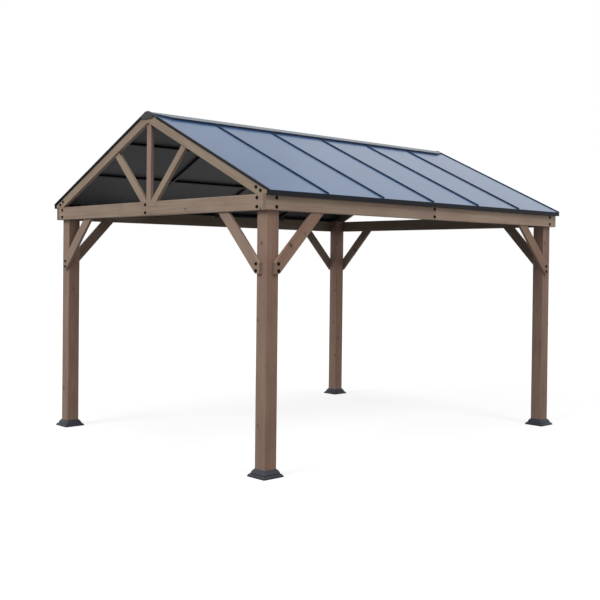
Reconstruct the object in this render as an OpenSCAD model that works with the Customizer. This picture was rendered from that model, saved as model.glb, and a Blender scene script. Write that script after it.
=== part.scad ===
// Hardtop gazebo: four timber posts carry a ring of beams, an open timber truss
// at each gable end, and a pitched roof of flat steel panels on a steel sub-frame.
//
// Frame: origin on the ground at the centre of the plan, +Z up, ridge along Y.
// "front" is the -Y gable, "back" the +Y gable, "right" is +X and "left" is -X.

/* [Overall] */
// Width across the ridge, over the outer faces of the beam ring
ring_w = 3230; // [2600:10:4200]
// Length along the ridge, over the outer faces of the beam ring
ring_l = 3990; // [3200:10:5200]
// Clear height from the ground to the underside of the beams
clear_h = 2070; // [1900:5:2600]
// Pitch of the roof, degrees
roof_pitch = 25; // [18:0.5:32]

/* [Posts] */
// Side of a square timber post
post_w = 120; // [90:1:160]
// Height of a post base cover
skirt_h = 63; // [45:1:110]
// How far the foot of a base cover stands out from the post
skirt_out = 42; // [35:1:60]
// Thickness of the foot rim of a base cover
skirt_rim = 8; // [6:1:12]
// How far the foot of its flare stands out from the post
flare_out = 23; // [12:1:30]
// Height of the foot of its flare
flare_base = 16; // [13:1:24]
// How far the flare bulges
flare_bulge = 4; // [0:0.5:8]
// Thickness of its upper edge
skirt_lip = 2; // [1:0.5:4]
// Clearance between a base cover and its post
skirt_gap = 0.5; // [0.2:0.1:0.8]

/* [Beams] */
// Depth of every beam board
beam_d = 124; // [95:1:170]
// Thickness of a side beam board
side_t = 38; // [30:1:60]
// Thickness of a gable tie board
tie_t = 48; // [40:1:70]
// Distance from the middle of a side to the splice in its beam
side_splice = 40; // [0:5:200]

/* [Knee braces] */
// Width of a brace board
brace_w = 98; // [70:1:120]
// Thickness of a brace board
brace_t = 28; // [20:1:40]
// Angle of a brace from the horizontal, degrees
brace_angle = 46; // [40:1:52]
// Distance from the post's outer face to the far corner of a brace's head
brace_reach = 584; // [450:1:700]
// Drop from the beam's underside to the foot of a brace
brace_drop = 490; // [380:1:600]

/* [Gable trusses] */
// Depth of a gable rafter, square to the slope
rafter_d = 80; // [60:1:110]
// Thickness of a gable rafter
rafter_t = 38; // [30:1:48]
// Length of the level seat at a rafter's foot, from the ring's outer face
foot_seat = 122; // [90:1:160]
// How far a rafter's foot runs past the ring's outer face
rafter_tail = 10; // [0:1:25]
// Width of the king post and struts
web_w = 66; // [50:1:90]
// Thickness of the king post and struts
web_t = 34; // [24:1:40]
// Angle of a strut from the horizontal, degrees
strut_angle = 45; // [38:1:52]
// Distance from the king post's side to the far corner of a strut's foot
strut_foot = 88; // [60:1:130]

/* [Steel roof frame] */
// Side of the square steel tube of the roof frame
tube = 25; // [20:1:40]
// Side of the square steel ridge tube
ridge_tube = 50; // [40:1:70]
// Distance from the centre to the outer steel rafters, along the ridge
rafter_pitch = 1000; // [700:10:1300]
// Distance from the ridge to the upper purlin, in plan
purlin_high = 485; // [350:5:700]
// Distance from the ridge to the lower purlin, in plan
purlin_low = 1040; // [850:5:1250]
// Width of the bracket that carries a steel rafter's foot
bracket_w = 56; // [45:1:80]
// Height of that bracket
bracket_h = 52; // [40:1:70]
// Thickness of the bracket's plates
bracket_t = 3; // [2:0.5:5]
// Length of the bracket's seat under the rafter, in plan
bracket_seat = 42; // [30:1:60]

/* [Roof covering] */
// Thickness of a roof panel
panel_t = 3; // [2:0.5:4]
// Height of the panels' underside above the gable rafters
panel_lift = 9.5; // [6:0.5:14]
// Clearance between sloping faces that lie on each other
layer_gap = 0.2; // [0.1:0.1:0.5]
// Pitch of the seams between panels
seam_pitch = 661; // [400:1:900]
// Distance of the middle seam from the middle of the roof
seam_shift = -40; // [-60:5:60]
// Narrowest panel that is fitted at a gable
panel_min = 200; // [100:10:300]
// Gap between two panels at a seam
seam_gap = 4; // [2:0.5:8]
// Width of the rib that covers a seam
rib_w = 18; // [12:1:30]
// Height of a rib above the panels
rib_h = 16; // [8:1:25]
// How far the roof runs past the ring at the gables
gable_over = 11; // [6:1:30]
// How far the roof runs past the ring at the eaves
eave_over = 38; // [20:1:60]
// Depth of the eave trim
eave_d = 50; // [40:1:80]
// Thickness of the folded trims and the ridge cap
trim_t = 3; // [2:0.5:4]
// Width of the return lip along the foot of the eave trim
eave_lip = 25; // [15:1:35]
// How far the eave trim reaches in under the panels
eave_leg = 50; // [40:1:60]
// How far the rake trim hangs below the top of its rafter
rake_drip = 4; // [2:1:10]
// Width of the rake trim's leg over the panels
rake_leg = 14; // [10:1:25]
// How far a panel laps onto the ridge tube
panel_lap = 5; // [3:1:10]
// Half the width of the ridge cap
cap_half = 150; // [110:1:200]
// Half the width of the flat along the top of the ridge cap
cap_flat = 30; // [15:1:40]
// Height of the ridge cap's edges above the panels
cap_edge = 24; // [16:1:35]
// How much flatter the ridge cap's sides are than the roof, degrees
cap_ease = 5; // [3:0.5:7]
// Half the width of the lower part of a ridge end plate
plate_half = 88; // [60:1:110]
// How far a ridge end plate hangs below the line of the ridge
plate_drop = 69; // [50:1:90]

/* [Hidden] */
ENDS = ["front", "back"];
SIDES = ["right", "left"];

timber = "#84705f";
steel_dark = "#26292f";
steel_roof = "#8496ad";
steel_base = "#3c3f47";

slope = tan(roof_pitch);
half_w = ring_w / 2;
half_l = ring_l / 2;
beam_top = clear_h + beam_d;
// Outer faces of the posts, against which the beams and braces lie
face_x = half_w - side_t;
face_y = half_l - tie_t;

// Heights over the ridge line at which the roof's sloping planes meet
under_apex = beam_top + (half_w - foot_seat) * slope;
top_apex = under_apex + rafter_d / cos(roof_pitch);
panel_apex = top_apex + panel_lift / cos(roof_pitch);
cover_apex = panel_apex + panel_t / cos(roof_pitch);
rest_gap = layer_gap / cos(roof_pitch);
packer_apex = top_apex + rest_gap;
carrier_apex = panel_apex - rest_gap;
tube_apex = carrier_apex - tube / cos(roof_pitch);
seat_apex = tube_apex - rest_gap;
bracket_apex = seat_apex - bracket_t / cos(roof_pitch);
leg_under_apex = carrier_apex - trim_t / cos(roof_pitch);
trim_apex = cover_apex + rest_gap;
leg_top_apex = trim_apex + trim_t / cos(roof_pitch);
rib_apex = trim_apex + rib_h / cos(roof_pitch);
drip_apex = top_apex - rake_drip / cos(roof_pitch);
web_apex = under_apex - rest_gap;

roof_half_w = half_w + eave_over;
roof_half_l = half_l + gable_over;
// Inner faces of the folded trims, where the panels end
panel_end_x = roof_half_w - trim_t;
panel_end_y = roof_half_l - trim_t;
panel_from = ridge_tube / 2 - panel_lap;
// Inner edge of the eave trim and inner face of the gable rafters
eave_in = panel_end_x - eave_leg;
rafter_back = half_l - rafter_t;
eave_low = cover_apex - roof_half_w * slope - eave_d;

// Seams between the panels of a slope, as many as the roof's length takes
seam_reach = ceil(panel_end_y / seam_pitch);
seams = [
    for (i = [-seam_reach : seam_reach])
        let (y = seam_shift + i * seam_pitch)
            if (abs(y) < panel_end_y - panel_min) y
];
panel_edges = concat([-panel_end_y - seam_gap / 2], seams, [panel_end_y + seam_gap / 2]);

// Stations of the steel rafters, and of the faces that the purlins run between
stations = [-rafter_pitch, 0, rafter_pitch];
purlin_from = concat([-rafter_back], [for (y = stations) y + tube / 2]);
purlin_to = concat([for (y = stations) y - tube / 2], [rafter_back]);

// The ridge cap's pitch, and its outline from its edge to its flat
cap_pitch = roof_pitch - cap_ease;
cap_edge_z = trim_apex - cap_half * slope + cap_edge;
cap_flat_z = cap_edge_z + (cap_half - cap_flat) * tan(cap_pitch);
cap_under = trim_t / cos(cap_pitch);

// Height of a plane of the roof at a distance from the ridge line
function fall(apex, x) = apex - x * slope;

// Places a piece drawn at the front right corner at any corner
module corner(end, side)
    mirror([side == "left" ? 1 : 0, 0, 0])
        mirror([0, end == "back" ? 1 : 0, 0])
            children();

// Extrudes an outline drawn in X and Z along Y, from y0 to y1
module along_y(y0, y1)
    translate([0, y1, 0])
        rotate([90, 0, 0])
            linear_extrude(y1 - y0)
                children();

// Extrudes an outline drawn in Y and Z along X, from x0 to x1
module along_x(x0, x1)
    translate([x0, 0, 0])
        rotate([90, 0, 90])
            linear_extrude(x1 - x0)
                children();

// A layer of the roof between two sloping planes, plumb at both ends
module roof_layer(low, high, x0, x1)
    polygon([
        [x0, fall(low, x0)],
        [x1, fall(low, x1)],
        [x1, fall(high, x1)],
        [x0, fall(high, x0)],
    ]);

module post()
    color(timber)
        translate([face_x - post_w, -face_y, 0])
            cube([post_w, post_w, beam_top]);

// A base cover's outline: a rim on the ground, a step in, and a convex flare
module skirt_outline() {
    half = post_w / 2;
    steps = 6;
    right = concat(
        [[half + skirt_out, 0], [half + skirt_out, skirt_rim]],
        [
            for (i = [0 : steps])
                let (t = i / steps)
                    [
                        half + flare_out * (1 - t) + skirt_lip * t + 4 * flare_bulge * t * (1 - t),
                        flare_base * (1 - t) + skirt_h * t,
                    ]
        ]
    );
    left = [for (i = [len(right) - 1 : -1 : 0]) [-right[i][0], right[i][1]]];
    polygon(concat(right, left));
}

module post_base()
    color(steel_base)
        translate([face_x - post_w / 2, -face_y + post_w / 2, 0])
            difference() {
                reach = post_w / 2 + skirt_out;
                bore = post_w + 2 * skirt_gap;
                intersection() {
                    along_x(-reach, reach) skirt_outline();
                    along_y(-reach, reach) skirt_outline();
                }
                translate([-bore / 2, -bore / 2, -skirt_rim])
                    cube([bore, bore, skirt_h + 2 * skirt_rim]);
            }

module tie_beam()
    color(timber)
        translate([0, -half_l, clear_h])
            cube([face_x, tie_t, beam_d]);

module side_beam_front()
    color(timber)
        translate([face_x, -half_l, clear_h])
            cube([side_t, half_l + side_splice, beam_d]);

module side_beam_back()
    color(timber)
        translate([face_x, side_splice, clear_h])
            cube([side_t, half_l - side_splice, beam_d]);

// A brace's outline: its distance in from the post's outer face, and its height
module brace_outline()
    intersection() {
        translate([brace_reach, clear_h])
            rotate(brace_angle)
                translate([-clear_h, 0])
                    square([2 * clear_h, brace_w]);
        translate([post_w / 2, clear_h - brace_drop])
            square([brace_reach, brace_drop]);
    }

module gable_brace()
    color(timber)
        translate([face_x, 0, 0])
            mirror([1, 0, 0])
                along_y(-face_y - brace_t, -face_y)
                    brace_outline();

module side_brace()
    color(timber)
        translate([0, -face_y, 0])
            along_x(face_x, face_x + brace_t)
                brace_outline();

module gable_rafter()
    color(timber)
        along_y(-half_l, -rafter_back)
            polygon([
                [0, under_apex],
                [half_w - foot_seat, beam_top],
                [half_w + rafter_tail, beam_top],
                [half_w + rafter_tail, fall(top_apex, half_w + rafter_tail)],
                [0, top_apex],
            ]);

module king_post()
    color(timber)
        along_y(-face_y - web_t, -face_y)
            polygon([
                [-web_w / 2, beam_top],
                [web_w / 2, beam_top],
                [web_w / 2, fall(web_apex, web_w / 2)],
                [0, web_apex],
                [-web_w / 2, fall(web_apex, web_w / 2)],
            ]);

// The right hand strut, cut to the tie beam, the king post and the rafter
module strut()
    along_y(-face_y - web_t, -face_y)
        intersection() {
            translate([web_w / 2 + strut_foot, beam_top])
                rotate(strut_angle)
                    translate([-half_w / 2, 0])
                        square([half_w, web_w]);
            polygon([
                [web_w / 2, beam_top],
                [half_w - foot_seat, beam_top],
                [web_w / 2, fall(web_apex, web_w / 2)],
            ]);
        }

module struts()
    color(timber) {
        strut();
        mirror([1, 0, 0]) strut();
    }

module ridge_beam()
    color(steel_dark)
        translate([-ridge_tube / 2, -rafter_back, fall(carrier_apex, ridge_tube / 2) - ridge_tube])
            cube([ridge_tube, 2 * rafter_back, ridge_tube]);

// A steel rafter and the angle bracket that seats its foot on the side beam
module steel_rafter() {
    along_y(-tube / 2, tube / 2)
        roof_layer(tube_apex, carrier_apex, ridge_tube / 2, eave_in);
    along_y(-bracket_w / 2, bracket_w / 2)
        polygon([
            [face_x, fall(seat_apex, face_x) - bracket_h],
            [face_x, fall(seat_apex, face_x)],
            [face_x - bracket_seat, fall(seat_apex, face_x - bracket_seat)],
            [face_x - bracket_seat, fall(bracket_apex, face_x - bracket_seat)],
            [face_x - bracket_t, fall(bracket_apex, face_x - bracket_t)],
            [face_x - bracket_t, fall(seat_apex, face_x) - bracket_h],
        ]);
}

module steel_rafters()
    color(steel_dark)
        for (y = stations)
            translate([0, y, 0])
                steel_rafter();

module purlins()
    color(steel_dark)
        for (x = [purlin_high, purlin_low], i = [0 : len(purlin_from) - 1])
            translate([x, purlin_from[i], fall(carrier_apex, x)])
                rotate([0, roof_pitch, 0])
                    translate([-tube / 2, 0, -tube])
                        cube([tube, purlin_to[i] - purlin_from[i], tube]);

module roof_panels()
    color(steel_roof)
        for (i = [0 : len(seams)])
            along_y(panel_edges[i] + seam_gap / 2, panel_edges[i + 1] - seam_gap / 2)
                roof_layer(panel_apex, cover_apex, panel_from, panel_end_x);

module seam_ribs()
    color(steel_dark)
        for (y = seams)
            along_y(y - rib_w / 2, y + rib_w / 2)
                roof_layer(trim_apex, rib_apex, cap_half, panel_end_x);

// A folded profile: a drip face, a lip along its foot, and a leg under the panels
module eave_trim()
    color(steel_dark)
        along_y(-panel_end_y, panel_end_y)
            polygon([
                [roof_half_w, eave_low],
                [roof_half_w, fall(cover_apex, roof_half_w)],
                [panel_end_x, fall(cover_apex, panel_end_x)],
                [panel_end_x, fall(carrier_apex, panel_end_x)],
                [eave_in, fall(carrier_apex, eave_in)],
                [eave_in, fall(packer_apex, eave_in)],
                [eave_in + trim_t, fall(packer_apex, eave_in + trim_t)],
                [eave_in + trim_t, fall(leg_under_apex, eave_in + trim_t)],
                [panel_end_x, fall(leg_under_apex, panel_end_x)],
                [panel_end_x, eave_low + trim_t],
                [panel_end_x - eave_lip, eave_low + trim_t],
                [panel_end_x - eave_lip, eave_low],
            ]);

// One slope's rake trim: a packer on the rafter, a drip face and a leg over the panels
module rake_side() {
    along_y(-panel_end_y, -rafter_back)
        roof_layer(packer_apex, carrier_apex, panel_from, eave_in);
    along_y(-roof_half_l, -panel_end_y)
        roof_layer(drip_apex, leg_top_apex, cap_half, roof_half_w);
    along_y(-roof_half_l, -roof_half_l + rake_leg)
        roof_layer(trim_apex, leg_top_apex, cap_half, roof_half_w);
}

module rake_trim()
    color(steel_dark) {
        rake_side();
        mirror([1, 0, 0]) rake_side();
    }

module ridge_cap()
    color(steel_roof)
        along_y(-panel_end_y, panel_end_y)
            polygon([
                [cap_half, fall(trim_apex, cap_half)],
                [cap_half, cap_edge_z],
                [cap_flat, cap_flat_z],
                [-cap_flat, cap_flat_z],
                [-cap_half, cap_edge_z],
                [-cap_half, fall(trim_apex, cap_half)],
                [trim_t - cap_half, fall(trim_apex, cap_half - trim_t)],
                [trim_t - cap_half, cap_edge_z - cap_under + trim_t * tan(cap_pitch)],
                [-cap_flat, cap_flat_z - cap_under],
                [cap_flat, cap_flat_z - cap_under],
                [cap_half - trim_t, cap_edge_z - cap_under + trim_t * tan(cap_pitch)],
                [cap_half - trim_t, fall(trim_apex, cap_half - trim_t)],
            ]);

// Closes the end of the ridge cap and covers the joint of the gable rafters
module ridge_end_plate()
    color(steel_base)
        along_y(-roof_half_l, -panel_end_y)
            polygon([
                [cap_half, fall(drip_apex, cap_half)],
                [cap_half, cap_edge_z],
                [cap_flat, cap_flat_z],
                [-cap_flat, cap_flat_z],
                [-cap_half, cap_edge_z],
                [-cap_half, fall(drip_apex, cap_half)],
                [-plate_half, fall(drip_apex, plate_half)],
                [-plate_half, cover_apex - plate_drop],
                [plate_half, cover_apex - plate_drop],
                [plate_half, fall(drip_apex, plate_half)],
            ]);

for (e = ENDS, s = SIDES) {
    place = str(e, "_", s);
    corner(e, s) post();
    corner(e, s) post_base();
    corner(e, s) tie_beam();
    corner(e, s) gable_brace();
    corner(e, s) side_brace();
    corner(e, s) gable_rafter();
}
for (s = SIDES) {
    corner("front", s) side_beam_front();
    corner("front", s) side_beam_back();
    corner("front", s) steel_rafters();
    corner("front", s) purlins();
    corner("front", s) roof_panels();
    corner("front", s) seam_ribs();
    corner("front", s) eave_trim();
}
for (e = ENDS) {
    corner(e, "right") king_post();
    corner(e, "right") struts();
    corner(e, "right") rake_trim();
    corner(e, "right") ridge_end_plate();
}
ridge_beam();  // ridge_tube
ridge_cap();
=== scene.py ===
"""Hardtop gazebo: brown stained cedar under a pitched roof of coated steel panels.

Lengths in the classes are in millimetres, and meshes are in metres, in the frame of the
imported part: origin on the ground, +Z up, ridge along Y, front gable at -Y.
"""

import logging
import math
import random
from abc import ABC, abstractmethod
from collections.abc import Callable, Iterable
from dataclasses import dataclass, field
from enum import Enum, IntEnum
from itertools import pairwise, product

import bmesh
import bpy
from mathutils import Matrix, Vector


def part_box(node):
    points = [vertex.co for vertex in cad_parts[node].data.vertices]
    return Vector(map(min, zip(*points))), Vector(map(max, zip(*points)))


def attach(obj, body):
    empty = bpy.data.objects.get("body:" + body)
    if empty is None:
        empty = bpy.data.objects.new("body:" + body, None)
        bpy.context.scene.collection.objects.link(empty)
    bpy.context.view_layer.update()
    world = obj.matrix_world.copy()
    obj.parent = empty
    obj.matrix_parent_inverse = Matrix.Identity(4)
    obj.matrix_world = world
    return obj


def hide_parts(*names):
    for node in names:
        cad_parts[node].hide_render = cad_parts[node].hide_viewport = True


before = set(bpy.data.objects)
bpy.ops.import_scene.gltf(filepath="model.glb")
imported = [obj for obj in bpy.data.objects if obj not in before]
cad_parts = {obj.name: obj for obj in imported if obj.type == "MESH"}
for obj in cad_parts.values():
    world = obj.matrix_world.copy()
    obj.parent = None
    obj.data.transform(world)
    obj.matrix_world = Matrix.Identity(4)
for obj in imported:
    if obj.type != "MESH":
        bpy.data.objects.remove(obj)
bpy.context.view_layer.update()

LOG = logging.getLogger("gazebo")
MM = 0.001
BODY = "root"
ROOF_PITCH = 25.0  # degrees

Colour = tuple[float, float, float, float]
NodeInput = bpy.types.NodeSocket | float | tuple[float, ...]


class Side(Enum):
    """A long side of the gazebo, by the sign of its X."""

    RIGHT = 1
    LEFT = -1

    @property
    def word(self) -> str:
        """The side's word in node names."""
        return self.name.lower()


class End(Enum):
    """A gable end of the gazebo, by the sign of its Y."""

    FRONT = -1
    BACK = 1

    @property
    def word(self) -> str:
        """The end's word in node names."""
        return self.name.lower()


class Slot(Enum):
    """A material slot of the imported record."""

    TIMBER = "timber"
    PANEL = "roof_panel"
    CAP = "ridge_cap"
    TRIM = "roof_trim"
    FRAME = "roof_frame"
    BASE = "post_base"


class MixSocket(IntEnum):
    """Sockets of a colour Mix node, by index."""

    A = 6
    B = 7
    RESULT = 2


def linear(hex_colour: str) -> Colour:
    """Turns an sRGB hex colour into a linear one.

    Args:
        hex_colour: A colour such as "#84705f".

    Returns:
        Red, green, blue and an alpha of 1, linear.
    """
    parts = [int(hex_colour[i : i + 2], 16) / 255 for i in (1, 3, 5)]
    return (*(p / 12.92 if p <= 0.04045 else ((p + 0.055) / 1.055) ** 2.4 for p in parts), 1.0)


def per_metre(spacing: float) -> float:
    """Scale of a texture whose features are a spacing apart.

    Args:
        spacing: The real distance between two features, in millimetres.

    Returns:
        Features in a metre.
    """
    return 1 / (spacing * MM)


def add_node(
    tree: bpy.types.NodeTree,
    kind: str,
    inputs: dict[str | int, NodeInput] | None = None,
    **settings: object,
) -> bpy.types.Node:
    """Adds a node with its settings and links.

    Args:
        tree: The node tree that it goes in.
        kind: The node's type name.
        inputs: What each input is linked to, or its constant.
        **settings: The node's own properties.

    Returns:
        The new node.
    """
    node = tree.nodes.new(kind)
    for name, value in settings.items():
        setattr(node, name, value)
    for name, value in (inputs or {}).items():
        if isinstance(value, bpy.types.NodeSocket):
            tree.links.new(value, node.inputs[name])
        else:
            node.inputs[name].default_value = value
    return node


@dataclass(frozen=True)
class Finish(ABC):
    """A finish, named for its real material."""

    name: str

    @abstractmethod
    def shade(self, tree: bpy.types.NodeTree) -> bpy.types.Node:
        """Builds the finish's shader.

        Args:
            tree: An empty material tree.

        Returns:
            The shader node whose first output is the surface.
        """

    def material(self) -> bpy.types.Material:
        """The finish's material, made when it is first asked for."""
        made = bpy.data.materials.get(self.name)
        if made is None:
            made = bpy.data.materials.new(self.name)
            made.use_nodes = True
            tree = made.node_tree
            tree.nodes.clear()
            surface = self.shade(tree).outputs[0]
            add_node(tree, "ShaderNodeOutputMaterial", {"Surface": surface})
        return made


@dataclass(frozen=True)
class StainedCedar(Finish):
    """Softwood sawn and planed, then dipped in a thin brown stain.

    The stain lets the growth rings show as soft streaks along each board, sinks in darker at
    the sawn ends, and leaves the knots nearly black. It dries to a dull sheen.
    """

    early: str = "#8f7f6f"
    late: str = "#75604f"
    knot: str = "#3a241b"
    ring: float = 7.0  # real rings are 3 mm apart; drawn wider so that they show
    knot_pitch: float = 420.0
    knot_radius: float = 12.0
    tone_swing: float = 0.13
    ring_depth: float = 0.22
    streak_depth: float = 0.42

    def shade(self, tree: bpy.types.NodeTree) -> bpy.types.Node:
        """Rings round the board's own pith, streaks along it, knots that run out from it."""
        grain = add_node(tree, "ShaderNodeAttribute", attribute_name="grain").outputs["Vector"]
        parts = add_node(tree, "ShaderNodeSeparateXYZ", {"Vector": grain}).outputs

        def stretched(along: float, across: float, detail: float) -> bpy.types.NodeSocket:
            """Noise drawn out along the fibres, from its feature sizes in millimetres."""
            spread = (per_metre(along), per_metre(across), per_metre(across))
            place = add_node(
                tree, "ShaderNodeVectorMath", {0: grain, 1: spread}, operation="MULTIPLY"
            )
            made = add_node(
                tree, "ShaderNodeTexNoise",
                {"Vector": place.outputs["Vector"], "Scale": 1.0, "Detail": detail},
            )
            return made.outputs["Fac"]

        def worked(operation: str, *values: NodeInput) -> bpy.types.NodeSocket:
            """The result of a Math node."""
            made = add_node(tree, "ShaderNodeMath", dict(enumerate(values)), operation=operation)
            return made.outputs["Value"]

        def ranged(value: NodeInput, low: float, high: float, out_low: float, out_high: float):
            """A value moved smoothly from one range to another."""
            made = add_node(
                tree, "ShaderNodeMapRange",
                {0: value, 1: low, 2: high, 3: out_low, 4: out_high},
                interpolation_type="SMOOTHSTEP",
            )
            return made.outputs["Result"]

        # Knots: branches that run straight out from the pith, one to each cell
        around = worked("ARCTAN2", parts["Y"], parts["Z"])
        cell = add_node(
            tree, "ShaderNodeCombineXYZ",
            {
                "X": worked("MULTIPLY", parts["X"], per_metre(self.knot_pitch)),
                "Y": worked("MULTIPLY", around, 80 / self.knot_pitch),
            },
        )
        branch = add_node(
            tree, "ShaderNodeTexVoronoi",
            {"Vector": cell.outputs["Vector"], "Scale": 1.0}, voronoi_dimensions="2D",
        )
        chance = add_node(tree, "ShaderNodeSeparateColor", {"Color": branch.outputs["Color"]})
        reach = self.knot_radius / self.knot_pitch
        radius = ranged(chance.outputs["Red"], 0.3, 1.0, -0.4 * reach, reach)
        beyond = worked("SUBTRACT", branch.outputs["Distance"], radius)
        core = ranged(beyond, -0.3 * reach, 0.25 * reach, 1.0, 0.0)
        halo = ranged(beyond, 0.0, 2.4 * reach, 1.0, 0.0)

        # Growth rings: the distance from the pith, pushed about by the tree's own waviness
        away = add_node(
            tree, "ShaderNodeVectorMath", {0: grain, 1: (0.0, 1.0, 1.0)}, operation="MULTIPLY"
        )
        length = add_node(
            tree, "ShaderNodeVectorMath", {0: away.outputs["Vector"]}, operation="LENGTH"
        ).outputs["Value"]
        warp = worked("MULTIPLY", stretched(900, 130, 2.0), 26 * MM)
        swirl = worked("MULTIPLY", halo, 9 * MM)
        grown = worked("ADD", worked("ADD", length, warp), swirl)
        ring = worked("FRACT", worked("MULTIPLY", grown, per_metre(self.ring)))
        late = worked("POWER", ring, 3.0)

        streak = stretched(650, 14, 3.0)
        blotch = stretched(420, 110, 2.0)
        fibre = stretched(90, 1.6, 2.0)
        shade = worked(
            "ADD",
            worked("MULTIPLY", late, self.ring_depth),
            ranged(streak, 0.3, 0.7, 0.0, self.streak_depth),
        )
        wood = add_node(
            tree, "ShaderNodeMix",
            {
                0: worked("ADD", shade, worked("MULTIPLY", fibre, 0.12)),
                MixSocket.A: linear(self.early),
                MixSocket.B: linear(self.late),
            },
            data_type="RGBA",
        )
        # The tone attribute holds each board's tone together with painted light and shade: the
        # listed lighter or darker boards and the posts' darker feet.
        tone = add_node(tree, "ShaderNodeAttribute", attribute_name="tone").outputs["Fac"]
        # This attribute marks faces turned along X, which are painted redder, richer and a little
        # darker as painted shade.
        heart = add_node(tree, "ShaderNodeAttribute", attribute_name="heart").outputs["Fac"]
        ends = add_node(tree, "ShaderNodeAttribute", attribute_name="end_grain").outputs["Fac"]
        level = worked(
            "ADD",
            worked("MULTIPLY_ADD", tone, self.tone_swing, ranged(blotch, 0.3, 0.7, 0.93, 1.06)),
            worked("ADD", worked("MULTIPLY", ends, -0.45), worked("MULTIPLY", heart, -0.03)),
        )
        hue = worked("MULTIPLY_ADD", heart, -0.007, ranged(blotch, 0.3, 0.7, 0.491, 0.508))
        toned = add_node(
            tree, "ShaderNodeHueSaturation",
            {
                "Hue": hue,
                "Saturation": worked("MULTIPLY_ADD", heart, 0.22, 1.0),
                "Value": level,
                "Color": wood.outputs[MixSocket.RESULT],
            },
        )
        knotted = add_node(
            tree, "ShaderNodeMix",
            {
                0: worked("MAXIMUM", worked("MULTIPLY", core, 0.88), worked("MULTIPLY", halo, 0.16)),
                MixSocket.A: toned.outputs["Color"],
                MixSocket.B: linear(self.knot),
            },
            data_type="RGBA",
        )
        height = worked("SUBTRACT", fibre, worked("MULTIPLY", late, 0.5))
        bump = add_node(
            tree, "ShaderNodeBump", {"Height": height, "Strength": 0.55, "Distance": 0.5 * MM}
        )
        return add_node(
            tree, "ShaderNodeBsdfPrincipled",
            {
                "Base Color": knotted.outputs[MixSocket.RESULT],
                "Roughness": ranged(streak, 0.3, 0.7, 0.58, 0.72),
                "IOR": 1.5,
                "Specular IOR Level": 0.35,
                "Normal": bump.outputs["Normal"],
            },
        )


@dataclass(frozen=True)
class CoatedSteel(Finish):
    """Steel sheet or tube with a baked coat.

    The coat is even in colour, with a faint orange peel, and thin sheet is never quite flat,
    so its reflection drifts a little over each panel.
    """

    colour: str = "#202630"
    roughness: float = 0.42
    sheen_swing: float = 0.05
    peel: float = 3.0  # an orange peel of 1 mm; drawn wider so that it shows
    peel_depth: float = 0.03
    wave: float = 420.0
    wave_depth: float = 0.0
    fade: float = 0.05
    ior: float = 1.5
    specular: float = 0.5
    metallic: float = 0.0
    speckle: float = 0.0

    def shade(self, tree: bpy.types.NodeTree) -> bpy.types.Node:
        """A base colour with a drift of tone, orange peel and the waves of thin sheet."""
        place = add_node(tree, "ShaderNodeTexCoord").outputs["Object"]
        drift = add_node(
            tree, "ShaderNodeTexNoise",
            {"Vector": place, "Scale": per_metre(self.wave), "Detail": 3.0},
        ).outputs["Fac"]
        grit = add_node(
            tree, "ShaderNodeTexNoise",
            {"Vector": place, "Scale": per_metre(self.peel), "Detail": 2.0},
        ).outputs["Fac"]
        even = add_node(
            tree, "ShaderNodeMapRange",
            {0: drift, 1: 0.3, 2: 0.7, 3: 1 - self.fade, 4: 1 + self.fade},
        )
        grain = add_node(
            tree, "ShaderNodeMapRange",
            {0: grit, 1: 0.35, 2: 0.65, 3: 1 - self.speckle, 4: 1 + self.speckle},
        )
        level = add_node(
            tree, "ShaderNodeMath",
            {0: even.outputs["Result"], 1: grain.outputs["Result"]}, operation="MULTIPLY",
        )
        colour = add_node(
            tree, "ShaderNodeHueSaturation",
            {"Color": linear(self.colour), "Value": level.outputs["Value"]},
        )
        rough = add_node(
            tree, "ShaderNodeMapRange",
            {
                0: grit, 1: 0.3, 2: 0.7,
                3: self.roughness - self.sheen_swing, 4: self.roughness + self.sheen_swing,
            },
        )
        waves = add_node(
            tree, "ShaderNodeBump",
            {"Height": drift, "Strength": 1.0, "Distance": max(self.wave_depth, 0.01) * MM},
        )
        bump = add_node(
            tree, "ShaderNodeBump",
            {
                "Height": grit, "Strength": 1.0, "Distance": self.peel_depth * MM,
                "Normal": waves.outputs["Normal"],
            },
        )
        return add_node(
            tree, "ShaderNodeBsdfPrincipled",
            {
                "Base Color": colour.outputs["Color"],
                "Roughness": rough.outputs["Result"],
                "Metallic": self.metallic,
                "IOR": self.ior,
                "Specular IOR Level": self.specular,
                "Normal": bump.outputs["Normal"],
            },
        )


# The stain takes differently on each kind of board
BEAM_CEDAR = StainedCedar("stained_cedar_beam", early="#938171", late="#7d6656", knot_pitch=320.0)
RAFTER_CEDAR = StainedCedar("stained_cedar_rafter", early="#8d7d6d", late="#786452")
POST_CEDAR = StainedCedar(
    "stained_cedar_post", early="#8a7264", late="#725a4d", knot_pitch=205.0,
    knot_radius=12.0, ring_depth=0.12, streak_depth=0.25,
)
BRACE_CEDAR = StainedCedar("stained_cedar_brace", early="#8d796b", late="#75604f", knot_pitch=225.0)
WEB_CEDAR = StainedCedar("stained_cedar_web", early="#8c766a", late="#755c50")
PANEL_TOP = CoatedSteel(
    "coated_steel_roof_top", colour="#37557a", roughness=0.2, wave_depth=0.8, specular=0.16
)
PANEL_UNDER = CoatedSteel(
    "primed_steel_roof_under", colour="#3f3f40", roughness=0.6, specular=0.25
)
TRIM_STEEL = CoatedSteel("coated_steel_trim", colour="#12151b", roughness=0.5, specular=0.15)
RIB_STEEL = CoatedSteel("coated_steel_rib", colour="#101b30", roughness=0.5, specular=0.15)
CAP_STEEL = CoatedSteel(
    "textured_steel_ridge_cap", colour="#71777f", roughness=0.6, peel=12.0, peel_depth=0.6,
    fade=0.1, specular=0.3, speckle=0.3,
)
PLATE_STEEL = CoatedSteel("coated_steel_ridge_plate", colour="#37373b", roughness=0.5, specular=0.2)
FRAME_STEEL = CoatedSteel(
    "powder_coated_steel_frame", colour="#141517", roughness=0.5, specular=0.15
)
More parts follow.
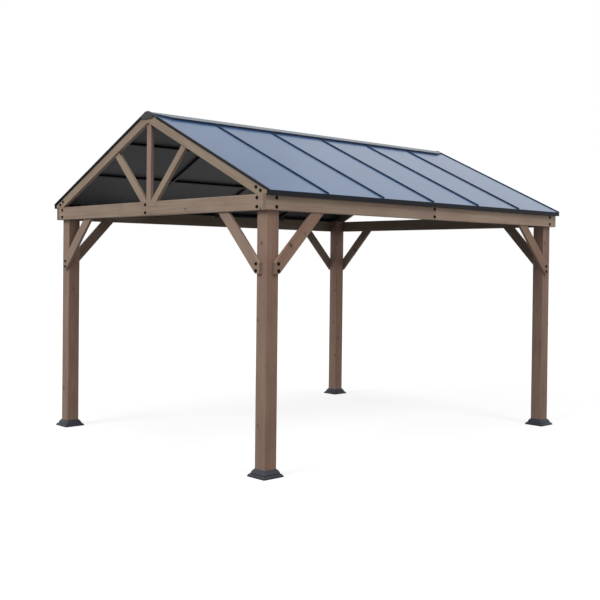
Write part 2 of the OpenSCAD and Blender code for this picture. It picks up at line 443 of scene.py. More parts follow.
BASE_STEEL = CoatedSteel("moulded_post_cover", colour="#2e323a", roughness=0.5, specular=0.3)
# Also put on the covers' risers, as painted shade.
RIM_STEEL_AND_RISER_SHADE = CoatedSteel("sealed_cover_rim", colour="#0f1112", roughness=0.55, specular=0.3)
BOLT_STEEL = CoatedSteel("blackened_bolt_steel", colour="#0c0a09", roughness=0.55, specular=0.08)


class Workpiece:
    """A piece being made, as one bmesh in metres."""

    def __init__(self) -> None:
        """Starts with nothing on the bench."""
        self.bm = bmesh.new()

    @classmethod
    def copied(cls, node: str) -> "Workpiece":
        """Starts from a CAD node's shape, its loose triangles merged into whole faces.

        Args:
            node: The CAD node's name.

        Returns:
            The workpiece.
        """
        made = cls()
        made.bm.from_mesh(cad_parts[node].data)
        bm = made.bm
        bmesh.ops.remove_doubles(bm, verts=bm.verts, dist=0.02 * MM)
        bmesh.ops.dissolve_limit(
            bm, angle_limit=math.radians(0.5), verts=bm.verts, edges=bm.edges
        )
        for face in bm.faces:
            face.smooth = False
        for edge in bm.edges:
            edge.smooth = True
        return made

    def sheet(self, points: Iterable[tuple[float, float]], y_from: float, y_to: float) -> None:
        """Draws a folded sheet: a line of folds across the ridge, drawn out along it.

        Args:
            points: The folds' X and Z, mm.
            y_from: Where the sheet starts, mm.
            y_to: Where it ends.
        """
        bm = self.bm
        folds = [bm.verts.new(Vector((x, y_from, z)) * MM) for x, z in points]
        edges = [bm.edges.new(pair) for pair in pairwise(folds)]
        drawn = bmesh.ops.extrude_edge_only(bm, edges=edges)["geom"]
        moved = [part for part in drawn if isinstance(part, bmesh.types.BMVert)]
        bmesh.ops.translate(bm, verts=moved, vec=(0, (y_to - y_from) * MM, 0))

    def plate(self, points: Iterable[tuple[float, float]], y_from: float, y_to: float) -> None:
        """Cuts a flat plate that stands across the ridge.

        Args:
            points: Its outline's X and Z, mm.
            y_from: Its first face, mm.
            y_to: Its other face.
        """
        bm = self.bm
        outline = [bm.verts.new(Vector((x, y_from, z)) * MM) for x, z in points]
        face = bm.faces.new(outline)
        drawn = bmesh.ops.extrude_face_region(bm, geom=[face], use_keep_orig=True)["geom"]
        moved = [part for part in drawn if isinstance(part, bmesh.types.BMVert)]
        bmesh.ops.translate(bm, verts=moved, vec=(0, (y_to - y_from) * MM, 0))

    def islands(self) -> list[list[bmesh.types.BMVert]]:
        """The separate shells of the workpiece, each as its vertices."""
        found, seen = [], set()
        for first in self.bm.verts:
            if first in seen:
                continue
            island, waiting = [], [first]
            seen.add(first)
            while waiting:
                vert = waiting.pop()
                island.append(vert)
                for edge in vert.link_edges:
                    other = edge.other_vert(vert)
                    if other not in seen:
                        seen.add(other)
                        waiting.append(other)
            found.append(island)
        return found

    def ease(
        self,
        radius: float,
        segments: int = 2,
        wanted: Callable[[bmesh.types.BMEdge], bool] = lambda edge: True,
        sharper_than: float = 12.0,
    ) -> None:
        """Rounds the workpiece's corners.

        Args:
            radius: The round, in millimetres.
            segments: Facets across it.
            wanted: Says which edges are rounded.
            sharper_than: The least angle between two faces that counts as a corner, degrees.
        """
        least = math.radians(sharper_than)
        edges = [
            e for e in self.bm.edges
            if e.is_manifold and e.calc_face_angle(0.0) > least and wanted(e)
        ]
        rounds = bmesh.ops.bevel(
            self.bm, geom=edges, offset=radius * MM, offset_type="OFFSET", segments=segments,
            profile=0.5, affect="EDGES", clamp_overlap=True, material=-1,
        )
        for face in rounds["faces"]:
            longest = max(edge.calc_length() for edge in face.edges)
            face.smooth = face.calc_area() < longest * radius * MM

    def to_piece(
        self,
        name: str,
        finish: Finish,
        slot: Slot | None = None,
        replaces: Iterable[str] = (),
        smooth_under: float = 35.0,
    ) -> bpy.types.Object:
        """Turns the workpiece into a piece that rides on the gazebo.

        Args:
            name: The piece's name.
            finish: Its finish.
            slot: The record's material slot that it belongs to; not used.
            replaces: The CAD nodes that it stands for.
            smooth_under: Faces meeting at less than this angle are shaded as one, degrees.

        Returns:
            The piece's object.
        """
        for edge in self.bm.edges:
            edge.smooth = edge.calc_face_angle(math.pi) < math.radians(smooth_under)
        mesh = bpy.data.meshes.new(name)
        self.bm.to_mesh(mesh)
        self.bm.free()
        imported = mesh.attributes.get("custom_normal")
        if imported is not None:
            mesh.attributes.remove(imported)
        mesh.materials.clear()
        mesh.materials.append(finish.material())
        piece = bpy.data.objects.new(name, mesh)
        bpy.context.scene.collection.objects.link(piece)
        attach(piece, BODY)
        if replaces:
            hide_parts(*replaces)
        LOG.info("%s: %d faces", name, len(mesh.polygons))
        return piece


@dataclass
class Board:
    """A sawn board or post: its long edges eased by the planer, its ends cut square.

    Each board takes the stain a little differently. A post is painted darker towards its foot, and
    its faces that look along X are painted redder and a little darker; both are painted shade.
    """

    node: str
    finish: StainedCedar
    tones: tuple[float, ...] = ()
    # How much darker the board is painted where it comes near zero along fade_axis: on a post,
    # painted shade towards its foot; on a tie beam, darker towards its splice.
    fade: float = 0.0
    fade_axis: int = 2
    heart_side: float = 0.0
    long_edge: float = 4.0
    end_edge: float = 1.2
    pith_near: float = 15.0
    pith_far: float = 110.0

    def build(self) -> bpy.types.Object:
        """Makes the board from its CAD node.

        Returns:
            The board's object.
        """
        work = Workpiece.copied(self.node)
        bm = work.bm
        lots = [(island, self.fibre(island)) for island in work.islands()]
        runs = {v: fibre for island, fibre in lots for v in island}
        parallel = 0.999

        def runs_along(edge: bmesh.types.BMEdge) -> bool:
            """Whether an edge runs with its own board's fibres."""
            first = edge.verts[0]
            if first not in runs:
                return False
            return abs((edge.verts[1].co - first.co).normalized().dot(runs[first])) > parallel

        long_edges = {e for e in bm.edges if runs_along(e)}
        work.ease(self.long_edge, 2, lambda edge: edge in long_edges)
        self.mark(work)
        return work.to_piece(
            "timber_" + self.node, self.finish, Slot.TIMBER, [self.node], smooth_under=50.0
        )

    def fibre(self, island: list[bmesh.types.BMVert]) -> Vector:
        """The way that the fibres run, which is along the board's longest edge.

        Args:
            island: The board's vertices.

        Returns:
            A unit vector.
        """
        edges = {e for v in island for e in v.link_edges}
        longest = max(edges, key=lambda e: e.calc_length())
        run = longest.verts[1].co - longest.verts[0].co
        return run.normalized()

    def mark(self, work: Workpiece) -> None:
        """Writes where each point lies in its board's own log, for the cedar's pattern.

        Args:
            work: The shaped board.
        """
        bm = work.bm
        grain = bm.verts.layers.float_vector.new("grain")
        tone = bm.verts.layers.float.new("tone")
        end_grain = bm.faces.layers.float.new("end_grain")
        heart = bm.faces.layers.float.new("heart")
        draw = random.Random(self.node)
        islands = sorted(work.islands(), key=lambda lot: sum(v.co.x for v in lot) / len(lot))
        for number, island in enumerate(islands):
            run = self.fibre(island)
            turn = run.to_track_quat("X", "Z").inverted()
            centre = sum((v.co for v in island), Vector()) / len(island)
            angle = draw.uniform(0, 2 * math.pi)
            away = draw.uniform(self.pith_near, self.pith_far) * MM
            log = Vector((draw.uniform(-40, 40), away * math.cos(angle), away * math.sin(angle)))
            # Some listed tones are painted light and painted shade, not only the stain's tone.
            board_tone_and_painted_light = self.tones[number] if self.tones else draw.uniform(-0.5, 0.5)
            axis = self.fade_axis
            far = max(abs(v.co[axis]) for v in island)
            for v in island:
                v[grain] = turn @ (v.co - centre) + log
                # Painted shade: a post is darkened towards its foot, on top of its board's tone.
                v[tone] = board_tone_and_painted_light - self.fade * (1 - abs(v.co[axis]) / far)
            for face in {f for v in island for f in v.link_faces}:
                face[end_grain] = abs(face.normal.dot(run)) ** 1.5
                # Painted shade: faces turned along X are marked to be drawn redder and darker.
                face[heart] = self.heart_side * abs(face.normal.x)


# How light or dark some boards took the stain, from -1 to 1, left part first. Some values are
# painted light and shade: post_back_left is painted lighter, and the left side braces darker.
BOARD_TONES_AND_PAINTED_LIGHT = {
    "post_front_right": (-0.3,),
    "post_front_left": (-0.2,),
    "post_back_right": (-0.4,),
    "post_back_left": (1.7,),
    "side_brace_front_left": (-1.5,),
    "side_brace_back_left": (-1.5,),
    "tie_beam_front_left": (-0.7,),
    "tie_beam_front_right": (-0.6,),
    "side_beam_front_right": (0.5,),
    "side_beam_back_right": (1.5,),
    "side_beam_front_left": (-1.0,),
    "side_beam_back_left": (-1.0,),
    "king_post_front": (-0.3,),
    "struts_front": (0.2, 0.0),
    "gable_rafter_front_left": (-0.2,),
    "gable_rafter_front_right": (-0.1,),
    "gable_brace_front_left": (-0.1,),
    "gable_brace_front_right": (0.0,),
    "side_brace_front_right": (-0.2,),
}


@dataclass
class Timberwork:
    """Every post, beam, brace, rafter and web member."""

    posts: StainedCedar = POST_CEDAR
    beams: StainedCedar = BEAM_CEDAR
    braces: StainedCedar = BRACE_CEDAR
    rafters: StainedCedar = RAFTER_CEDAR
    webs: StainedCedar = WEB_CEDAR
    # The darkening of a post towards its foot is painted shade.
    foot: float = 1.7  # how much darker a post is at its foot
    splice: float = 0.9  # how much darker a tie beam is at its splice
    # How strongly posts are painted redder and darker on their faces turned along X: painted shade.
    heart: float = 0.6
    brace_heart: float = 1.1
    tones: dict[str, tuple[float, ...]] = field(default_factory=lambda: dict(BOARD_TONES_AND_PAINTED_LIGHT))

    def build(self) -> None:
        """Makes every board, corner by corner."""
        for end, side in product(End, Side):
            corner = f"{end.word}_{side.word}"
            self.board(
                "post_" + corner, self.posts,
                fade=self.foot, heart_side=self.heart, pith_near=5, pith_far=40,
            )
            self.board("tie_beam_" + corner, self.beams, fade=self.splice, fade_axis=0)
            self.board("side_beam_" + corner, self.beams)
            self.board("gable_brace_" + corner, self.braces)
            # Only the right-hand braces get this painted shade on their faces turned along X.
            red = self.brace_heart if side is Side.RIGHT else 0.0
            self.board("side_brace_" + corner, self.braces, heart_side=red)
            self.board("gable_rafter_" + corner, self.rafters)
        for end in End:
            self.board("king_post_" + end.word, self.webs)
            self.board("struts_" + end.word, self.rafters)

    def board(self, node: str, finish: StainedCedar, **cut: float | int) -> None:
        """Makes one board, with the tone that its stain has taken.

        Args:
            node: Its CAD node.
            finish: Its finish.
            **cut: The other sizes of the board.
        """
        Board(node, finish, tones=self.tones.get(node, ()), **cut).build()


@dataclass
class Bolt:
    """A blackened hexagon bolt on a round washer."""

    washer: float = 29.0
    washer_t: float = 2.4
    across_flats: float = 19.0
    head_t: float = 6.8
    chamfer: float = 0.7
    bedded: float = 0.3

    def drive(self, work: Workpiece, at: Vector, outwards: Vector, turn: float) -> None:
        """Adds a bolt to a workpiece.

        Args:
            work: The workpiece.
            at: Where its axis meets the timber, in metres.
            outwards: The way that its head points.
            turn: How far the head stands turned on its axis, radians.
        """
        bm = work.bm
        place = (
            Matrix.Translation(at)
            @ outwards.to_track_quat("Z", "Y").to_matrix().to_4x4()
            @ Matrix.Rotation(turn, 4, "Z")
        )
        start = -self.bedded
        hexagon = self.across_flats / math.sqrt(3)
        for segments, radius, thickness in (
            (28, self.washer / 2, self.washer_t), (6, hexagon, self.head_t),
        ):
            made = bmesh.ops.create_cone(
                bm, cap_ends=True, segments=segments, radius1=radius * MM, radius2=radius * MM,
                depth=thickness * MM,
                matrix=Matrix.Translation((0, 0, (start + thickness / 2) * MM)),
            )
            start += thickness - self.bedded
            top = max(v.co.z for v in made["verts"])
            rim = {
                e for v in made["verts"] for e in v.link_edges
                if all(abs(w.co.z - top) < 0.01 * MM for w in e.verts)
            }
            eased = bmesh.ops.bevel(
                bm, geom=list(rim), offset=self.chamfer * MM, offset_type="OFFSET", segments=2,
                profile=0.5, affect="EDGES", clamp_overlap=True, material=-1,
            )
            verts = {v for v in made["verts"] if v.is_valid} | set(eased["verts"])
            bmesh.ops.transform(bm, matrix=place, verts=list(verts))


@dataclass
class Bolting:
    """The bolts that hold the frame together, on the outer faces of its boards."""

    bolt: Bolt = field(default_factory=Bolt)
    tie_in: float = 68.0  # from the end of a tie beam
    side_in: float = 110.0  # from the end of a side beam
    beam_low: float = 27.0  # from the lower edge of a beam
    beam_high: float = 27.0  # from its upper edge
    rafter_at: tuple[tuple[float, float], ...] = ((129.0, 55.0), (75.0, 26.0))
    brace_in: float = 97.0  # from a post's outer face
    brace_up: tuple[float, ...] = (24.0, 78.0)  # above the foot of a brace
    splice_in: float = 27.0

    def build(self) -> None:
        """Drives the bolts of each corner and of each splice."""
        draw = random.Random("bolts")
        for end, side in product(End, Side):
            corner = f"{end.word}_{side.word}"
            self.group(f"bolts_{corner}", self.corner_places(end, side), draw)
        for end in End:
            self.group(f"splice_bolts_{end.word}", self.tie_splice(end), draw)
        for side in Side:
            self.group(f"splice_bolts_{side.word}", self.side_splice(side), draw)

    def group(
        self, name: str, places: list[tuple[Vector, Vector]], draw: random.Random
    ) -> None:
        """Makes one piece of several bolts.

        Args:
            name: The piece's name.
            places: Where each bolt is and the way that it points.
            draw: Where the turn of each head comes from.
        """
        work = Workpiece()
        for at, outwards in places:
            self.bolt.drive(work, at, outwards, draw.uniform(0, math.pi / 3))
        work.to_piece(name, BOLT_STEEL)

    def beam_heights(self, node: str) -> tuple[float, float]:
        """The heights of the two bolts at a beam's end, in metres."""
        low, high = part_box(node)
        return low.z + self.beam_low * MM, high.z - self.beam_high * MM

    def corner_places(self, end: End, side: Side) -> list[tuple[Vector, Vector]]:
        """The bolts at one corner.

        Args:
            end: The corner's gable end.
            side: The corner's long side.

        Returns:
            Each bolt's place and direction.
        """
        corner = f"{end.word}_{side.word}"
        sx, sy = side.value, end.value
        gable, flank = Vector((0, sy, 0)), Vector((sx, 0, 0))
        tie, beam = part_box("tie_beam_" + corner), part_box("side_beam_" + corner)
        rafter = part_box("gable_rafter_" + corner)
        gable_brace, side_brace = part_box("gable_brace_" + corner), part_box("side_brace_" + corner)
        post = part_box("post_" + corner)

        def outer(box: tuple[Vector, Vector], axis: int, sign: int) -> float:
            """The outermost coordinate of a box, along an axis."""
            return sign * max(abs(box[0][axis]), abs(box[1][axis]))

        places = []
        for z in self.beam_heights("tie_beam_" + corner):
            x = outer(tie, 0, sx) - sx * self.tie_in * MM
            places.append((Vector((x, outer(tie, 1, sy), z)), gable))
            y = outer(beam, 1, sy) - sy * self.side_in * MM
            places.append((Vector((outer(beam, 0, sx), y, z)), flank))
        for inward, up in self.rafter_at:
            x = outer(rafter, 0, sx) - sx * inward * MM
            places.append((Vector((x, outer(rafter, 1, sy), rafter[0].z + up * MM)), gable))
        for up in self.brace_up:
            x = outer(post, 0, sx) - sx * self.brace_in * MM
            z = gable_brace[0].z + up * MM
            places.append((Vector((x, outer(gable_brace, 1, sy), z)), gable))
            y = outer(post, 1, sy) - sy * self.brace_in * MM
            places.append((Vector((outer(side_brace, 0, sx), y, z)), flank))
        return places

    def tie_splice(self, end: End) -> list[tuple[Vector, Vector]]:
        """The bolts beside the splice of a gable's tie beam."""
        node = f"tie_beam_{end.word}_left"
        low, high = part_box(node)
        y = low.y if end is End.FRONT else high.y
        x = high.x - self.splice_in * MM
        return [(Vector((x, y, z)), Vector((0, end.value, 0))) for z in self.beam_heights(node)]

    def side_splice(self, side: Side) -> list[tuple[Vector, Vector]]:
        """The bolts beside the splice of a long side's beam."""
        node = f"side_beam_front_{side.word}"
        low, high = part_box(node)
        x = high.x if side is Side.RIGHT else low.x
        y = high.y - self.splice_in * MM
        return [(Vector((x, y, z)), Vector((side.value, 0, 0))) for z in self.beam_heights(node)]


@dataclass
class PostCover:
    """A moulded cover round the foot of a post: a rim, a step in and a convex flare."""

    rim_h: float = 11.0
    step_out: float = 31.0
    step_h: float = 24.0
    flare_out: float = 23.0
    flare_h: float = 29.0
    lip: float = 1.6
    bulge: float = 3.6
    wall: float = 1.4
    flare_steps: int = 8
    corner: float = 2.5

    def profile(self, rim: float, height: float) -> list[tuple[float, float]]:
        """Distance out from the post and height of each ring, from the ground up.

        Args:
            rim: How far the rim stands out from the post, mm.
            height: The cover's height, mm.

        Returns:
            The rings.
        """
        points = [(rim, 0.0), (rim, self.rim_h - 1.5), (rim - 1.5, self.rim_h)]
        points += [(self.step_out + 2, self.step_h - 2), (self.step_out - 3, self.step_h)]
        points += [(self.flare_out + 1, self.flare_h - 3), (self.flare_out - 0.5, self.flare_h)]
        for i in range(1, self.flare_steps + 1):
            t = i / self.flare_steps
            out = self.flare_out * (1 - t) + self.lip * t + 4 * self.bulge * t * (1 - t)
            points.append((out, self.flare_h * (1 - t) + height * t))
        return points

    def build(self, corner: str) -> None:
        """Makes the cover of one post.

        Args:
            corner: The words of its corner.
        """
        node = "post_base_" + corner
        low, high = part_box(node)
        post_low, post_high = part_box("post_" + corner)
        centre = (low + high) / 2
        half = (post_high.x - post_low.x) / 2
        rim = (high.x - low.x) / 2 - half
        work = Workpiece()
        bm = work.bm
        rings = []
        for out, height in self.profile(rim / MM, (high.z - low.z) / MM):
            made = bmesh.ops.create_circle(
                bm, segments=4, radius=(half + out * MM) * math.sqrt(2),
                matrix=Matrix.Translation((centre.x, centre.y, low.z + height * MM))
                @ Matrix.Rotation(math.radians(45), 4, "Z"),
            )
            rings.append(list({e for v in made["verts"] for e in v.link_edges}))
        for lower, upper in pairwise(rings):
            bmesh.ops.bridge_loops(bm, edges=lower + upper)
        bmesh.ops.recalc_face_normals(bm, faces=bm.faces)
        mitres = [
            e for e in bm.edges if abs(e.verts[0].co.z - e.verts[1].co.z) > 0.01 * MM
            or (e.verts[1].co - e.verts[0].co).length < 20 * MM
        ]
        bmesh.ops.bevel(
            bm, geom=mitres, offset=self.corner * MM, offset_type="OFFSET", segments=2,
            profile=0.5, affect="EDGES", clamp_overlap=True, material=-1,
        )
        bmesh.ops.solidify(bm, geom=list(bm.faces), thickness=self.wall * MM)
        for face in bm.faces:
            face.smooth = True
        cover = work.to_piece("cover_" + node, BASE_STEEL, Slot.BASE, [node], smooth_under=28.0)
        cover.data.materials.append(RIM_STEEL_AND_RISER_SHADE.material())
        for polygon in cover.data.polygons:
            height = (polygon.center.z - low.z) / MM
            # The riser between the step and the flare takes the rim's black: painted shade in the
            # step.
            riser_shade = self.step_h + 0.2 < height < self.flare_h - 0.5
            polygon.material_index = int(height < self.rim_h or riser_shade)


@dataclass
class RidgeCap:
    """A folded cap along the ridge, its four corners cut back towards the gables."""

    half: float = 163.0
    flat: float = 27.0
    top: float = 6.0  # below the crown of the roof
    edge: float = 20.0  # its edge, above the panels
    corner_half: float = 88.0
    corner_back: float = 165.0
    setback: float = 15.0  # from the face of the gable trim
    seat: float = 0.5  # from its lips to the panels
    sheet_t: float = 1.5
    fold_round: float = 1.5

    def build(self) -> bpy.types.Object:
        """Folds the cap, cuts its corners and turns its lips down to the panels.

        Returns:
            The cap's object.
        """
        low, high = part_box("ridge_cap")
        panels = Slope.of_panels()
        crown = high.z / MM - self.top
        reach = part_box("rake_trim_back")[1].y / MM - self.setback
        edge_z = panels.height(self.half) + self.edge
        folds = [(self.half, edge_z), (self.flat, crown), (-self.flat, crown), (-self.half, edge_z)]
        work = Workpiece()
        bm = work.bm
        work.sheet(folds, -reach, reach)
        for end, side in product(End, Side):
            across = (self.half - self.corner_half) * side.value
            along = self.corner_back * end.value
            bmesh.ops.bisect_plane(
                bm, geom=[*bm.verts, *bm.edges, *bm.faces], dist=0.001 * MM,
                plane_co=Vector((self.corner_half * side.value, reach * end.value, 0)) * MM,
                plane_no=(along, across, 0) if side.value * end.value > 0 else (-along, -across, 0),
                clear_outer=False, clear_inner=False,
            )
        off = [
            face for face in bm.faces
            if self.cut_away(face.calc_center_median() / MM, reach)
        ]
        bmesh.ops.delete(bm, geom=off, context="FACES")
        rim = [edge for edge in bm.edges if edge.is_boundary]
        lips = bmesh.ops.extrude_edge_only(bm, edges=rim)["geom"]
        for part in lips:
            if isinstance(part, bmesh.types.BMVert):
                part.co.z = (panels.height(abs(part.co.x) / MM) + self.seat) * MM
        bmesh.ops.recalc_face_normals(bm, faces=bm.faces)
        if max(bm.faces, key=lambda face: abs(face.normal.z)).normal.z < 0:
            bmesh.ops.reverse_faces(bm, faces=bm.faces)
        bmesh.ops.solidify(bm, geom=list(bm.faces), thickness=self.sheet_t * MM)
        work.ease(self.fold_round, 2, sharper_than=8.0)
        return work.to_piece("steel_ridge_cap", CAP_STEEL, Slot.CAP, ["ridge_cap"])

    def cut_away(self, at: Vector, reach: float) -> bool:
        """Whether a point lies outside the cut across its corner.

        Args:
            at: The point, mm.
            reach: Half the cap's length, mm.

        Returns:
            True where the corner is cut off.
        """
        slant = (self.half - self.corner_half) / self.corner_back
        return abs(at.x) > self.corner_half + (reach - abs(at.y)) * slant


@dataclass(frozen=True)
class Slope:
    """The upper face of the roof's layers: its height at the ridge line and its fall."""

    apex: float
    fall: float

    @classmethod
    def of_panels(cls) -> "Slope":
        """The panels' upper face, from the box of one slope's panels."""
        low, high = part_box("roof_panels_right")
        fall = math.tan(math.radians(ROOF_PITCH))
        return cls(high.z / MM + low.x / MM * fall, fall)

    def height(self, across: float) -> float:
        """The height at a distance from the ridge line, mm."""
        return self.apex - across * self.fall


@dataclass
class SteelParts:
    """The steel frame, panels and folded trims of the roof."""

    tube_round: float = 2.5
    fold_round: float = 0.8
    rib_round: float = 2.5
    rib_w: float = 13.0
    rib_h: float = 12.0
    eave_d: float = 37.0
    panel_from: float = 60.0  # from the ridge line, under the cap
    seam: float = 0.4  # between two panels
    plate_half: float = 82.0
    plate_drop: float = 69.0
    plate_t: float = 3.0
    rake_leg: float = 14.0
    rake_rise: float = 8.5  # of the gable trim above the panels
    drip_drop: float = 6.5  # of its foot below them

    def build(self) -> None:
        """Makes the frame first, then the covering that lies on it."""
        self.shaped("ridge_tube", FRAME_STEEL, Slot.FRAME, self.tube_round)
        for side in Side:
            word = side.word
            self.shaped("steel_rafters_" + word, FRAME_STEEL, Slot.FRAME, self.tube_round)
            self.shaped("purlins_" + word, FRAME_STEEL, Slot.FRAME, self.tube_round)
            self.panels(side)
            self.ribs(side)
            self.eave(side)
        for end in End:
            self.rake(end)
            self.end_plate(end)
        cap = RidgeCap().build()
        # The cap's steep faces, its turned-down lips, take the dark rib coat: painted shade along
        # the cap's edge.
        cap.data.materials.append(RIB_STEEL.material())
        for polygon in cap.data.polygons:
            polygon.material_index = int(polygon.normal.z < 0.5)

    def panels(self, side: Side) -> None:
        """Makes one slope's panels, closed up at the seams, with a dark lining below."""
        node = "roof_panels_" + side.word
        work = Workpiece.copied(node)
        bm = work.bm
        low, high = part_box(node)
        for island in work.islands():
            middle = sum(v.co.y for v in island) / len(island)
            ends = [min(v.co.y for v in island), max(v.co.y for v in island)]
            for v in island:
                if low.y + MM < v.co.y < high.y - MM:
                    v.co.y += math.copysign((4 - self.seam) / 2 * MM, v.co.y - middle)
        cut = Vector((self.panel_from * side.value * MM, 0, 0))
        made = bmesh.ops.bisect_plane(
            bm, geom=[*bm.verts, *bm.edges, *bm.faces], dist=0.001 * MM,
            plane_co=cut, plane_no=(-side.value, 0, 0), clear_outer=True,
        )
        open_edges = [edge for edge in bm.edges if edge.is_boundary]
        bmesh.ops.holes_fill(bm, edges=open_edges, sides=0)
        work.ease(self.fold_round, 2)
        panels = work.to_piece("steel_" + node, PANEL_TOP, Slot.PANEL, [node])
        panels.data.materials.append(PANEL_UNDER.material())
        for polygon in panels.data.polygons:
            polygon.material_index = int(polygon.normal.z < 0.2)

    def ribs(self, side: Side) -> None:
        """Makes one slope's ribs, drawn in to their real section."""
        node = "seam_ribs_" + side.word
        work = Workpiece.copied(node)
        panels = Slope.of_panels()
        for island in work.islands():
            middle = sum(v.co.y for v in island) / len(island)
            for v in island:
                v.co.y = middle + math.copysign(self.rib_w / 2 * MM, v.co.y - middle)
                line = panels.height(abs(v.co.x) / MM) * MM
                if v.co.z > line + self.rib_h / 2 * MM:
                    v.co.z = line + self.rib_h * MM
        work.ease(self.rib_round, 2)
        work.to_piece("steel_" + node, RIB_STEEL, Slot.TRIM, [node])

    def eave(self, side: Side) -> None:
        """Makes one eave's trim, its drip face cut to its real depth."""
        node = "eave_trim_" + side.word
        low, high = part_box(node)
        work = Workpiece.copied(node)
        face_top = Slope.of_panels().height(high.x / MM if side is Side.RIGHT else -low.x / MM)
        lift = face_top * MM - self.eave_d * MM - low.z
        for v in work.bm.verts:
            if v.co.z < low.z + 5 * MM:
                v.co.z += lift
        work.ease(self.fold_round, 2)
        work.to_piece("steel_" + node, TRIM_STEEL, Slot.TRIM, [node])

    def rake(self, end: End) -> None:
        """Makes one gable's trim, its drip face cut to its real depth."""
        node = "rake_trim_" + end.word
        work = Workpiece.copied(node)
        panels = Slope.of_panels()
        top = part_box("ridge_cap")[1].z
        for v in work.bm.verts:
            line = panels.height(abs(v.co.x) / MM) * MM
            if v.co.z < line - 15 * MM:
                v.co.z = line - self.drip_drop * MM
            elif v.co.z > line + 2.5 * MM:
                v.co.z = min(line + self.rake_rise * MM, top)
        work.ease(self.fold_round, 2)
        work.to_piece("steel_" + node, TRIM_STEEL, Slot.TRIM, [node])

    def end_plate(self, end: End) -> None:
        """Makes the plate over a gable's peak, folded back over the ends of the roof."""
        node = "ridge_end_plate_" + end.word
        low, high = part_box(node)
        panels = Slope.of_panels()
        top = high.z / MM
        half, foot = high.x / MM, panels.apex - self.plate_drop
        crown = (panels.apex + self.rake_rise - top) / panels.fall
        right = [
            (self.plate_half, foot),
            (self.plate_half, panels.height(self.plate_half) - self.drip_drop),
            (half, panels.height(half) - self.drip_drop),
            (half, panels.height(half) + self.rake_rise),
            (crown, top),
        ]
        outline = right + [(-x, z) for x, z in reversed(right)]
        face = (high.y if end is End.BACK else low.y) / MM
        work = Workpiece()
        work.plate(outline, face, face - end.value * self.plate_t)
        t = self.plate_t
        over = [
            (half, panels.height(half) + self.rake_rise), (crown, top),
            (-crown, top), (-half, panels.height(half) + self.rake_rise),
            (-half, panels.height(half) + self.rake_rise - t), (-crown, top - t),
            (crown, top - t), (half, panels.height(half) + self.rake_rise - t),
        ]
        work.plate(over, face - end.value * t, face - end.value * self.rake_leg)
        bmesh.ops.recalc_face_normals(work.bm, faces=work.bm.faces)
        work.ease(self.fold_round, 2)
        work.to_piece("steel_" + node, PLATE_STEEL, Slot.CAP, [node])

    def shaped(self, node: str, finish: Finish, slot: Slot, rounding: float) -> bpy.types.Object:
        """Makes a piece from a CAD node, its folds rounded.

        Args:
            node: The node's name.
            finish: The piece's finish.
            slot: Its material slot.
            rounding: The round of its folds, mm.

        Returns:
            The piece's object.
        """
        work = Workpiece.copied(node)
        work.ease(rounding, 2)
        return work.to_piece("steel_" + node, finish, slot, [node])


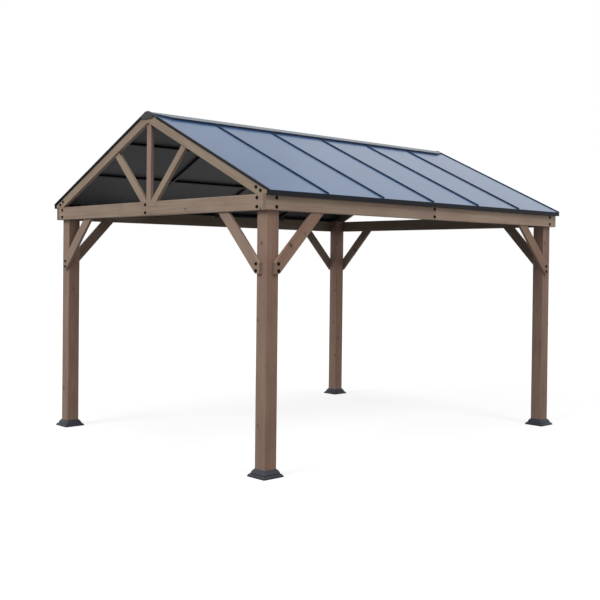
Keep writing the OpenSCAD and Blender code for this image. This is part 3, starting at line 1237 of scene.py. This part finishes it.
@dataclass
class Studio:
    """A pale floor, soft light and the camera."""

    eye: tuple[float, float, float] = (7124.0, -6712.0, 1674.0)
    heading: float = 46.89
    tilt: float = -0.859
    roll: float = 0.643
    lens: float = 57.115
    shift: tuple[float, float] = (-0.0122, -0.0392)
    sky: float = 0.75
    floor_bounce: str = "#505050"
    floor_share: float = 0.3

    def build(self) -> None:
        """Sets up the view, the light and the ground."""
        self.place_camera()
        self.light_world()
        self.hang_lamp("front_light", Vector((0.0, -0.82, 0.57)), 1.8, 30)
        self.hang_lamp("high_light", Vector((0.66, -0.1, 0.74)), 0.87, 20)
        self.hang_lamp("side_light", Vector((0.95, -0.31, 0.03)), 0.42, 6)
        self.hang_lamp("back_light", Vector((-0.38, 0.86, 0.34)), 0.05, 35)
        self.lay_floor()
        bpy.context.scene.view_settings.view_transform = "Standard"

    def place_camera(self) -> None:
        """Stands the camera at eye height off the near corner."""
        yaw, pitch, roll = (math.radians(a) for a in (self.heading, self.tilt, self.roll))
        ahead = Vector(
            (-math.sin(yaw) * math.cos(pitch), math.cos(yaw) * math.cos(pitch), math.sin(pitch))
        )
        level = Vector((math.cos(yaw), math.sin(yaw), 0))
        up = level.cross(ahead)
        right = math.cos(roll) * level + math.sin(roll) * up
        data = bpy.data.cameras.new("camera")
        data.sensor_width = 36
        data.lens = self.lens
        data.shift_x, data.shift_y = self.shift
        data.clip_end = 200
        camera = bpy.data.objects.new("camera", data)
        turn = Matrix((right, right.cross(-ahead) * -1, -ahead)).transposed()
        camera.matrix_world = Matrix.Translation(Vector(self.eye) * MM) @ turn.to_4x4()
        bpy.context.scene.collection.objects.link(camera)
        bpy.context.scene.camera = camera

    def seen_directly(self, tree: bpy.types.NodeTree, glossy: bool) -> bpy.types.NodeSocket:
        """How far a ray is one that sees the background itself.

        Args:
            tree: The node tree.
            glossy: Whether rays off gloss and through glass count too.

        Returns:
            A socket of 1 for such a ray and 0 for any other.
        """
        path = add_node(tree, "ShaderNodeLightPath").outputs
        if not glossy:
            return path["Is Camera Ray"]
        either = add_node(
            tree, "ShaderNodeMath",
            {0: path["Is Camera Ray"], 1: path["Is Glossy Ray"]}, operation="MAXIMUM",
        )
        return add_node(
            tree, "ShaderNodeMath",
            {0: either.outputs[0], 1: path["Is Transmission Ray"]}, operation="MAXIMUM",
        ).outputs[0]

    def light_world(self) -> None:
        """A white surround that lights the gazebo as an even sky."""
        world = bpy.data.worlds.new("studio")
        bpy.context.scene.world = world
        world.use_nodes = True
        tree = world.node_tree
        tree.nodes.clear()
        seen = self.seen_directly(tree, glossy=True)
        strength = add_node(
            tree, "ShaderNodeMapRange", {0: seen, 1: 0.0, 2: 1.0, 3: self.sky, 4: 1.0}
        )
        light = add_node(
            tree, "ShaderNodeBackground",
            {"Color": linear("#ffffff"), "Strength": strength.outputs["Result"]},
        )
        add_node(tree, "ShaderNodeOutputWorld", {"Surface": light.outputs[0]})

    def hang_lamp(self, name: str, towards: Vector, strength: float, spread: float) -> None:
        """Adds a far, soft lamp.

        Args:
            name: The lamp's name.
            towards: Where it stands, as seen from the gazebo.
            strength: Its strength.
            spread: How wide it looks, degrees.
        """
        data = bpy.data.lights.new(name, "SUN")
        data.energy = strength
        data.angle = math.radians(spread)
        lamp = bpy.data.objects.new(name, data)
        lamp.rotation_mode = "QUATERNION"
        lamp.rotation_quaternion = towards.to_track_quat("Z", "Y")
        bpy.context.scene.collection.objects.link(lamp)

    def lay_floor(self) -> None:
        """A wide floor, white to the eye, that keeps a part of the gazebo's shadow.

        It is clear from beneath, so that the underside can be looked at.
        """
        bm = bmesh.new()
        bmesh.ops.create_grid(bm, x_segments=1, y_segments=1, size=120)
        mesh = bpy.data.meshes.new("floor")
        bm.to_mesh(mesh)
        bm.free()
        floor = bpy.data.objects.new("floor", mesh)
        material = bpy.data.materials.new("pale_floor")
        material.use_nodes = True
        tree = material.node_tree
        tree.nodes.clear()
        glow = add_node(tree, "ShaderNodeEmission", {"Color": linear("#ffffff"), "Strength": 1.03})
        white = add_node(tree, "ShaderNodeBsdfDiffuse", {"Color": linear("#ffffff")})
        grey = add_node(tree, "ShaderNodeBsdfDiffuse", {"Color": linear(self.floor_bounce)})
        shown = add_node(
            tree, "ShaderNodeMixShader",
            {0: self.floor_share, 1: glow.outputs[0], 2: white.outputs[0]},
        )
        either = add_node(
            tree, "ShaderNodeMixShader",
            {
                0: self.seen_directly(tree, glossy=True),
                1: grey.outputs[0],
                2: shown.outputs[0],
            },
        )
        below = add_node(tree, "ShaderNodeNewGeometry").outputs["Backfacing"]
        clear = add_node(tree, "ShaderNodeBsdfTransparent")
        one_way = add_node(
            tree, "ShaderNodeMixShader", {0: below, 1: either.outputs[0], 2: clear.outputs[0]}
        )
        add_node(tree, "ShaderNodeOutputMaterial", {"Surface": one_way.outputs[0]})
        mesh.materials.append(material)
        bpy.context.scene.collection.objects.link(floor)


def main() -> None:
    """Builds the gazebo, then the studio round it."""
    logging.basicConfig(level=logging.INFO, format="%(name)s %(message)s")
    Timberwork().build()
    Bolting().build()
    for end, side in product(End, Side):
        PostCover().build(f"{end.word}_{side.word}")
    SteelParts().build()
    Studio().build()


if __name__ == "__main__":
    main()
